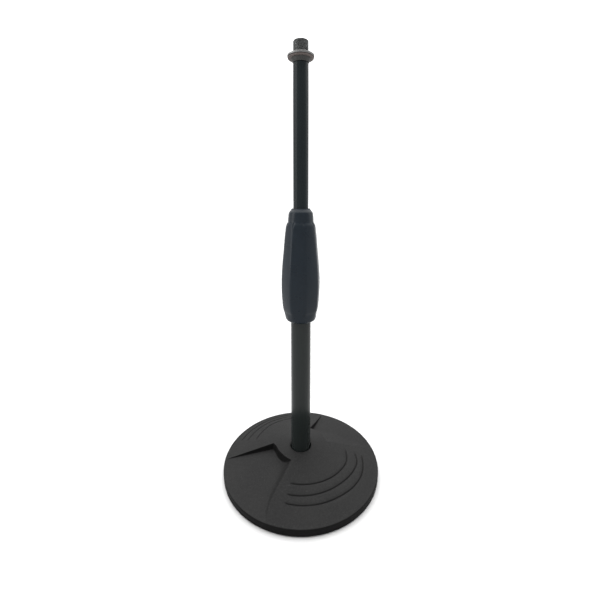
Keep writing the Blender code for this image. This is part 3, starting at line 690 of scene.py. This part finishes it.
def grip_radius(z, theta):
    """Outer radius of the grip: the plain neck, or the raised panels where they stand proud of it."""
    neck = np.where(z > 262.0, smooth_through(NECK, np.maximum(z, 262.0)), 5.0)
    width = TAU / PANELS
    local = (theta - PANEL_PHASE) % width - width / 2.0          # 0 in the middle of a panel
    off = np.abs(local) / (width / 2.0)                          # 1 on the ridge between two panels
    high_end = np.clip((z - 255.0) / 20.0, 0.0, 1.0)
    shift = off ** 4 * 1.9 * high_end                            # the upper corners of a panel sit lower than its middle
    barrel = smooth_through(PANEL, np.minimum(z + shift, 290.0))
    fade = np.clip((z - 176.9) / 13.0, 0.0, 1.0)
    fade = fade * fade * (3.0 - 2.0 * fade)
    flat = FLATNESS * fade * (1.0 / np.cos(local) - 1.0)
    ridge = 0.012 * fade * np.exp(-((1.0 - off) / 0.10) ** 2)
    panel = barrel * (0.996 + 0.004 * (1.0 - fade) + flat - ridge)
    return soft_max(neck, panel, 0.45)


FLATNESS = 0.72


def grip_mesh():
    segments = PANELS * 36
    stations = list(np.concatenate([
        np.linspace(176.5, 179.0, 11), np.linspace(179.6, 194.0, 26), np.linspace(195.5, 268.0, 46),
        np.linspace(269.0, 288.5, 34), np.linspace(289.3, 293.5, 6), np.linspace(294.0, 298.6, 16)]))
    angles = np.arange(segments) * TAU / segments + PANEL_PHASE
    bm = bmesh.new()
    outer = []
    for z in stations[::-1]:
        radii = grip_radius(np.full(segments, z), angles)
        outer.append([bm.verts.new((r * MM * math.cos(t), r * MM * math.sin(t), z * MM)) for r, t in zip(radii, angles)])
    inner_line = rounded([
        (11.6, 176.5, 0.5), (11.6, 180.5), (14.0, 185.5), (14.0, 207.7), (16.6, 207.7), (16.6, 236.3), (14.0, 236.3),
        (14.0, 249.8), (13.0, 251.0), (13.0, 262.0), (9.9, 278.0), (9.4, 280.6), (9.4, 282.7), (10.5, 282.7), (10.5, 295.8),
        (9.15, 295.8), (9.15, 297.9, 0.2), (9.45, 298.6)], 4, closed=False)
    rings = outer + [[bm.verts.new((r * MM * math.cos(t), r * MM * math.sin(t), z * MM)) for t in angles]
                     for r, z in inner_line]
    for upper, lower in list(zip(rings, rings[1:])) + [(rings[-1], rings[0])]:
        for k in range(segments):
            j = (k + 1) % segments
            bm.faces.new((upper[k], lower[k], lower[j], upper[j]))
    bmesh.ops.recalc_face_normals(bm, faces=bm.faces[:])
    mesh = bpy.data.meshes.new("grip_shell")
    bm.to_mesh(mesh)
    bm.free()
    return mesh


piece("grip_shell", grip_mesh(), "grip", GRIP, "grip_plastic", "grip_sleeve", sharp=50.0)
piece("wiper_lip", lathe_mesh("wiper_lip", rounded(
    [(8.3, 295.5), (10.2, 295.5, 0.3), (10.2, 283.0, 0.3), (8.3, 283.0)], 3), 96),
    "grip", WIPER, "wiper_plastic", "wiper_ring")


# ------------------------------------------------------------------ stud, washer and lock ring
def thread_mesh(name, major, depth, pitch, z_low, z_high, chamfer, below, above, segments=96):
    """An external thread from z_low to z_high, closed by turned outlines: `above` from its top to the axis, `below` from the axis or bore back to its foot."""
    breaks = (-1.0 / 16, 1.0 / 16, 0.14, 0.2188, 0.30, 0.375, 0.625, 0.70, 0.7812, 0.86)

    def radius(theta, z):
        phase = ((z - z_low) / pitch - theta / TAU + 1.0 / 16) % 1.0 - 1.0 / 16
        away = min(abs(phase), abs(1.0 - phase))
        share = 1.0 - min(1.0, max(0.0, (away - 1.0 / 16) / (0.375 - 1.0 / 16)))
        limit = min(1.0, max(0.0, (z_high - z) / chamfer))
        r = major - depth + depth * share
        r = min(r, major - depth + (depth + 0.0) * limit)
        runout = min(1.0, max(0.0, (z - z_low) / (0.8 * pitch)))
        return (major - depth) + (r - (major - depth)) * runout if runout < 1.0 else r, share

    bm = bmesh.new()
    wear = bm.verts.layers.float.new("crest")
    turns = int(math.ceil((z_high - z_low) / pitch)) + 2
    rows = [n + b for n in range(-1, turns) for b in breaks]
    grid = []
    for row in rows:
        line = []
        for k in range(segments + 1):
            theta = TAU * k / segments
            z = min(z_high, max(z_low, z_low + (row + k / segments) * pitch))
            r, share = radius(theta, z)
            v = bm.verts.new((r * MM * math.cos(theta), r * MM * math.sin(theta), z * MM))
            v[wear] = share
            line.append(v)
        grid.append(line)
    for lower, upper in zip(grid, grid[1:]):
        for k in range(segments):
            bm.faces.new((lower[k], lower[k + 1], upper[k + 1], upper[k]))
    bmesh.ops.remove_doubles(bm, verts=bm.verts[:], dist=0.0000015)
    bmesh.ops.dissolve_degenerate(bm, edges=bm.edges[:], dist=0.000001)

    def turned_cap(outline, join_z, cap_wear):
        """Rings from the outline, the first of which lies on the thread's end."""
        first = [v for v in bm.verts if abs(v.co.z - join_z * MM) < 2e-7]
        rings = []
        for r, z in outline:
            if r < 1e-6:
                rings.append([bm.verts.new((0, 0, z * MM))] * segments)
            else:
                rings.append([bm.verts.new((r * MM * math.cos(TAU * k / segments), r * MM * math.sin(TAU * k / segments), z * MM))
                              for k in range(segments)])
            for v in set(rings[-1]):
                v[wear] = cap_wear
        ordered = []
        for k in range(segments):
            angle = TAU * k / segments
            best = min(first, key=lambda v: (v.co.x / MM - 7 * math.cos(angle)) ** 2 + (v.co.y / MM - 7 * math.sin(angle)) ** 2)
            ordered.append(best)
        for a, b in zip([ordered] + rings, rings):
            for k in range(segments):
                j = (k + 1) % segments
                corners = []
                for v in (a[k], a[j], b[j], b[k]):
                    if v not in corners:
                        corners.append(v)
                if len(corners) > 2:
                    try:
                        bm.faces.new(corners)
                    except ValueError:
                        pass
    turned_cap(above, z_high, 0.5)
    turned_cap(below, z_low, 0.05)
    bmesh.ops.recalc_face_normals(bm, faces=bm.faces[:])
    print(name, "faces", len(bm.faces), "open edges", sum(1 for e in bm.edges if len(e.link_faces) != 2))
    mesh = bpy.data.meshes.new(name)
    bm.to_mesh(mesh)
    bm.free()
    return mesh


MIC_PITCH = 25.4 / 27.0
stud_below = rounded([(10.1, 449.5, 0.25), (8.3, 445.5, 0.15), (6.5, 445.5), (6.5, 430.6, 0.4), (5.9, 430.0), (0.0, 430.0)],
                     3, closed=False)
stud_below[0:0] = [(7.6, 449.5)]
piece("stud_thread", thread_mesh("stud_thread", 7.94, 0.58, MIC_PITCH, 450.3, 466.7, 0.4, [(7.36, 449.5)] + stud_below,
                                 rounded([(6.9, 466.7), (5.4, 466.7, 0.2), (4.6, 465.9, 0.3), (0.0, 465.9)], 3, closed=False)),
      "mast", STUD, "stud_steel", "thread_stud", sharp=38.0)
piece("fibre_ring", lathe_mesh("fibre_ring", rounded(
    [(8.24, 450.8, 0.1), (13.3, 450.8, 0.2), (13.3, 449.8, 0.2), (8.24, 449.8, 0.1)], 3), 96),
    "washer", FIBRE, "washer_fibre", "fibre_washer")
piece("ring_shell", lathe_mesh("ring_shell", rounded(
    [(8.24, 454.9), (8.7, 454.9, 0.1), (9.1, 454.6, 0.15), (9.8, 453.1, 0.35), (13.8, 453.1, 0.4), (13.8, 451.1, 0.35),
     (8.24, 451.1)], 4), 128),
    "lock_ring", RING, "ring_steel", "lock_ring")

# ------------------------------------------------------------------ underside
piece("pad_ring", lathe_mesh("pad_ring", rounded(
    [(77.7, 3.0), (85.3, 3.0), (85.3, 0.0, 0.7), (83.2, 0.0, 0.3), (82.9, 0.5, 0.2), (80.1, 0.5, 0.2), (79.8, 0.0, 0.3), (77.7, 0.0, 0.7)],
    3), 192), "base", RUBBER, "pad_rubber", "rim_pad")
piece("washer_plain", lathe_mesh("washer_plain", rounded(
    [(4.3, 10.2), (10.0, 10.2, 0.3), (10.0, 8.7, 0.2), (4.3, 8.7)], 3), 72), "base", ZINC, "fixing_steel", "flat_washer")


def bolt_mesh():
    """Hexagon head with a turned chamfer on its under side, and a threaded shank."""
    bm = bmesh.new()
    half, low, high = 6.5, 1.0, 6.3
    corner = half / math.cos(math.pi / 6)
    segments = 72
    def hexagon(angle):
        local = (angle + math.pi / 6) % (math.pi / 3) - math.pi / 6
        return half / math.cos(local)
    levels = []
    for z, limit in ((high, None), (low + 1.1, None), (low + 0.8, 0.0), (low + 0.5, 0.33), (low + 0.25, 0.66), (low, 1.0)):
        ring = []
        for k in range(segments):
            angle = TAU * k / segments
            r = hexagon(angle)
            if limit is not None:
                cone = corner - (corner - (half - 0.25)) * (0.15 + 0.85 * limit)
                r = min(r, cone)
            ring.append((r, angle, z))
        levels.append(ring)
    top = [[(4.0, TAU * k / segments, high) for k in range(segments)]]
    centre_rings = [[(r, TAU * k / segments, z) for k in range(segments)]
                    for r, z in ((5.2, low), (4.9, low + 0.25), (2.0, low + 0.35))]
    rings = top + levels + centre_rings
    made = [[bm.verts.new((r * MM * math.cos(t), r * MM * math.sin(t), z * MM)) for r, t, z in ring] for ring in rings]
    for a, b in zip(made, made[1:]):
        for k in range(segments):
            j = (k + 1) % segments
            bm.faces.new((a[k], b[k], b[j], a[j]))
    bm.faces.new(made[-1])
    # shank: an M8 thread, 1.25 mm pitch, drawn as helical rows
    pitch, major, depth = 1.25, 4.0, 0.72
    z_low, z_high = high, 33.0
    phases = (0.0, 0.12, 0.44, 0.56, 0.88)
    turns = int((z_high - z_low) / pitch) + 2
    grid = []
    for n in range(-1, turns):
        for b in phases:
            line = []
            for k in range(segments + 1):
                angle = TAU * k / segments
                z = min(z_high, max(z_low, z_low + (n + b + k / segments) * pitch))
                phase = ((z - z_low) / pitch - angle / TAU) % 1.0
                away = abs(phase - 0.5)
                share = min(1.0, max(0.0, (away - 0.06) / 0.32))
                r = major - depth * (1.0 - share)
                r = min(r, 3.1 + max(0.0, z_high - z))
                if z < z_low + 3.0:
                    r = 4.0
                line.append(bm.verts.new((r * MM * math.cos(angle), r * MM * math.sin(angle), z * MM)))
            grid.append(line)
    for lower, upper in zip(grid, grid[1:]):
        for k in range(segments):
            bm.faces.new((lower[k], lower[k + 1], upper[k + 1], upper[k]))
    bmesh.ops.remove_doubles(bm, verts=bm.verts[:], dist=0.0000015)
    bmesh.ops.dissolve_degenerate(bm, edges=bm.edges[:], dist=0.000001)
    end = [v for v in bm.verts if abs(v.co.z - z_high * MM) < 2e-7]
    end.sort(key=lambda v: math.atan2(v.co.y, v.co.x))
    bm.faces.new(end)
    bmesh.ops.recalc_face_normals(bm, faces=bm.faces[:])
    print("bolt open edges", sum(1 for e in bm.edges if len(e.link_faces) != 2))
    mesh = bpy.data.meshes.new("bolt_hex")
    bm.to_mesh(mesh)
    bm.free()
    return mesh


piece("bolt_hex", bolt_mesh(), "base", ZINC, "fixing_steel", "base_bolt", sharp=30.0)


def split_washer_mesh():
    """A spring washer: a square section swept almost once round, rising at the split."""
    bm = bmesh.new()
    steps = 90
    gap = math.radians(9.0)
    sections = []
    for i in range(steps + 1):
        t = gap / 2 + (TAU - gap) * i / steps
        lift = 0.10 * (i / steps - 0.5)
        corners = [(4.3, 6.75), (7.35, 6.75), (7.35, 8.25), (4.3, 8.25)]
        sections.append([bm.verts.new((r * MM * math.cos(t), r * MM * math.sin(t), (z + lift) * MM)) for r, z in corners])
    for a, b in zip(sections, sections[1:]):
        for k in range(4):
            j = (k + 1) % 4
            bm.faces.new((a[k], b[k], b[j], a[j]))
    bm.faces.new(sections[0])
    bm.faces.new(sections[-1][::-1])
    bmesh.ops.recalc_face_normals(bm, faces=bm.faces[:])
    mesh = bpy.data.meshes.new("washer_split")
    bm.to_mesh(mesh)
    bm.free()
    return mesh


washer_split = piece("washer_split", split_washer_mesh(), "base", ZINC, "fixing_steel", "spring_washer", sharp=30.0)
bevel = washer_split.modifiers.new("edges", "BEVEL")
bevel.width = 0.00015
bevel.segments = 2
bevel.limit_method = "ANGLE"

# ------------------------------------------------------------------ pieces that stay as the frame has them
for node, material in (
        ("tube_plug", ZINC), ("clutch_body", ZINC), ("clutch_pin_right", ZINC), ("clutch_pin_left", ZINC),
        ("clutch_nut", ZINC), ("glide_clip", ZINC), ("collet", NYLON), ("glide_bush", NYLON), ("mast_bumper", RUBBER)):
    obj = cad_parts[node]
    obj.data.materials.clear()
    obj.data.materials.append(material)

# ------------------------------------------------------------------ floor and light
floor_mesh = bpy.data.meshes.new("floor")
bm = bmesh.new()
bmesh.ops.create_circle(bm, cap_ends=True, segments=128, radius=50.0)
bm.to_mesh(floor_mesh)
bm.free()
floor = bpy.data.objects.new("floor", floor_mesh)
bpy.context.scene.collection.objects.link(floor)
floor.location = (0.0, 0.0, 0.0)
paper = Nodes("floor_paper")
tone = paper.mix(paper.noise(900.0, 2.0, 0.5), (0.485, 0.485, 0.485), (0.50, 0.50, 0.50))
floor.data.materials.append(paper.finish(tone, 0.9, specular=0.0))

world = bpy.data.worlds.new("world")
bpy.context.scene.world = world
world.use_nodes = True
tree = world.node_tree
background = tree.nodes["Background"]
direction = tree.nodes.new("ShaderNodeTexCoord")
split = tree.nodes.new("ShaderNodeSeparateXYZ")
tree.links.new(direction.outputs["Generated"], split.inputs[0])
studio = tree.nodes.new("ShaderNodeMapRange")
studio.interpolation_type = "SMOOTHSTEP"
studio.inputs["From Min"].default_value = -0.75
studio.inputs["From Max"].default_value = 0.50
studio.inputs["To Min"].default_value = 1.01
studio.inputs["To Max"].default_value = 1.06
aside = tree.nodes.new("ShaderNodeMath")
aside.operation = "MULTIPLY_ADD"
aside.inputs[1].default_value = -0.28
tree.links.new(split.outputs["X"], aside.inputs[0])
tree.links.new(split.outputs["Y"], aside.inputs[2])
tree.links.new(aside.outputs[0], studio.inputs["Value"])
ceiling = tree.nodes.new("ShaderNodeMapRange")
ceiling.interpolation_type = "SMOOTHSTEP"
ceiling.inputs["From Min"].default_value = 0.60
ceiling.inputs["From Max"].default_value = 0.95
ceiling.inputs["To Min"].default_value = 0.0
ceiling.inputs["To Max"].default_value = 3.4
tilted = tree.nodes.new("ShaderNodeMath")
tilted.operation = "MULTIPLY_ADD"
tilted.inputs[1].default_value = 0.35
tree.links.new(split.outputs["Y"], tilted.inputs[0])
tree.links.new(split.outputs["Z"], tilted.inputs[2])
tree.links.new(tilted.outputs[0], ceiling.inputs["Value"])
total = tree.nodes.new("ShaderNodeMath")
total.operation = "ADD"
tree.links.new(studio.outputs["Result"], total.inputs[0])
tree.links.new(ceiling.outputs["Result"], total.inputs[1])
tree.links.new(total.outputs[0], background.inputs["Strength"])
background.inputs["Color"].default_value = (1.0, 1.0, 1.0, 1.0)


def area(name, size, location, target, power, shape="RECTANGLE"):
    data = bpy.data.lights.new(name, "AREA")
    data.shape = shape
    data.size, data.size_y = size
    data.energy = power
    light = bpy.data.objects.new(name, data)
    bpy.context.scene.collection.objects.link(light)
    light.location = location
    light.rotation_euler = (Vector(target) - Vector(location)).to_track_quat("-Z", "Y").to_euler()
    return light


area("left_box", (0.8, 1.6), (-1.6, -0.35, 0.8), (0.0, 0.0, 0.25), 13.0)
area("right_box", (0.6, 1.4), (1.5, 0.15, 0.8), (0.0, 0.0, 0.25), 3.5)
area("top_box", (1.8, 1.8), (0.0, 0.3, 2.0), (0.0, 0.0, 0.1), 6.0)
bpy.context.scene.view_settings.view_transform = "Standard"
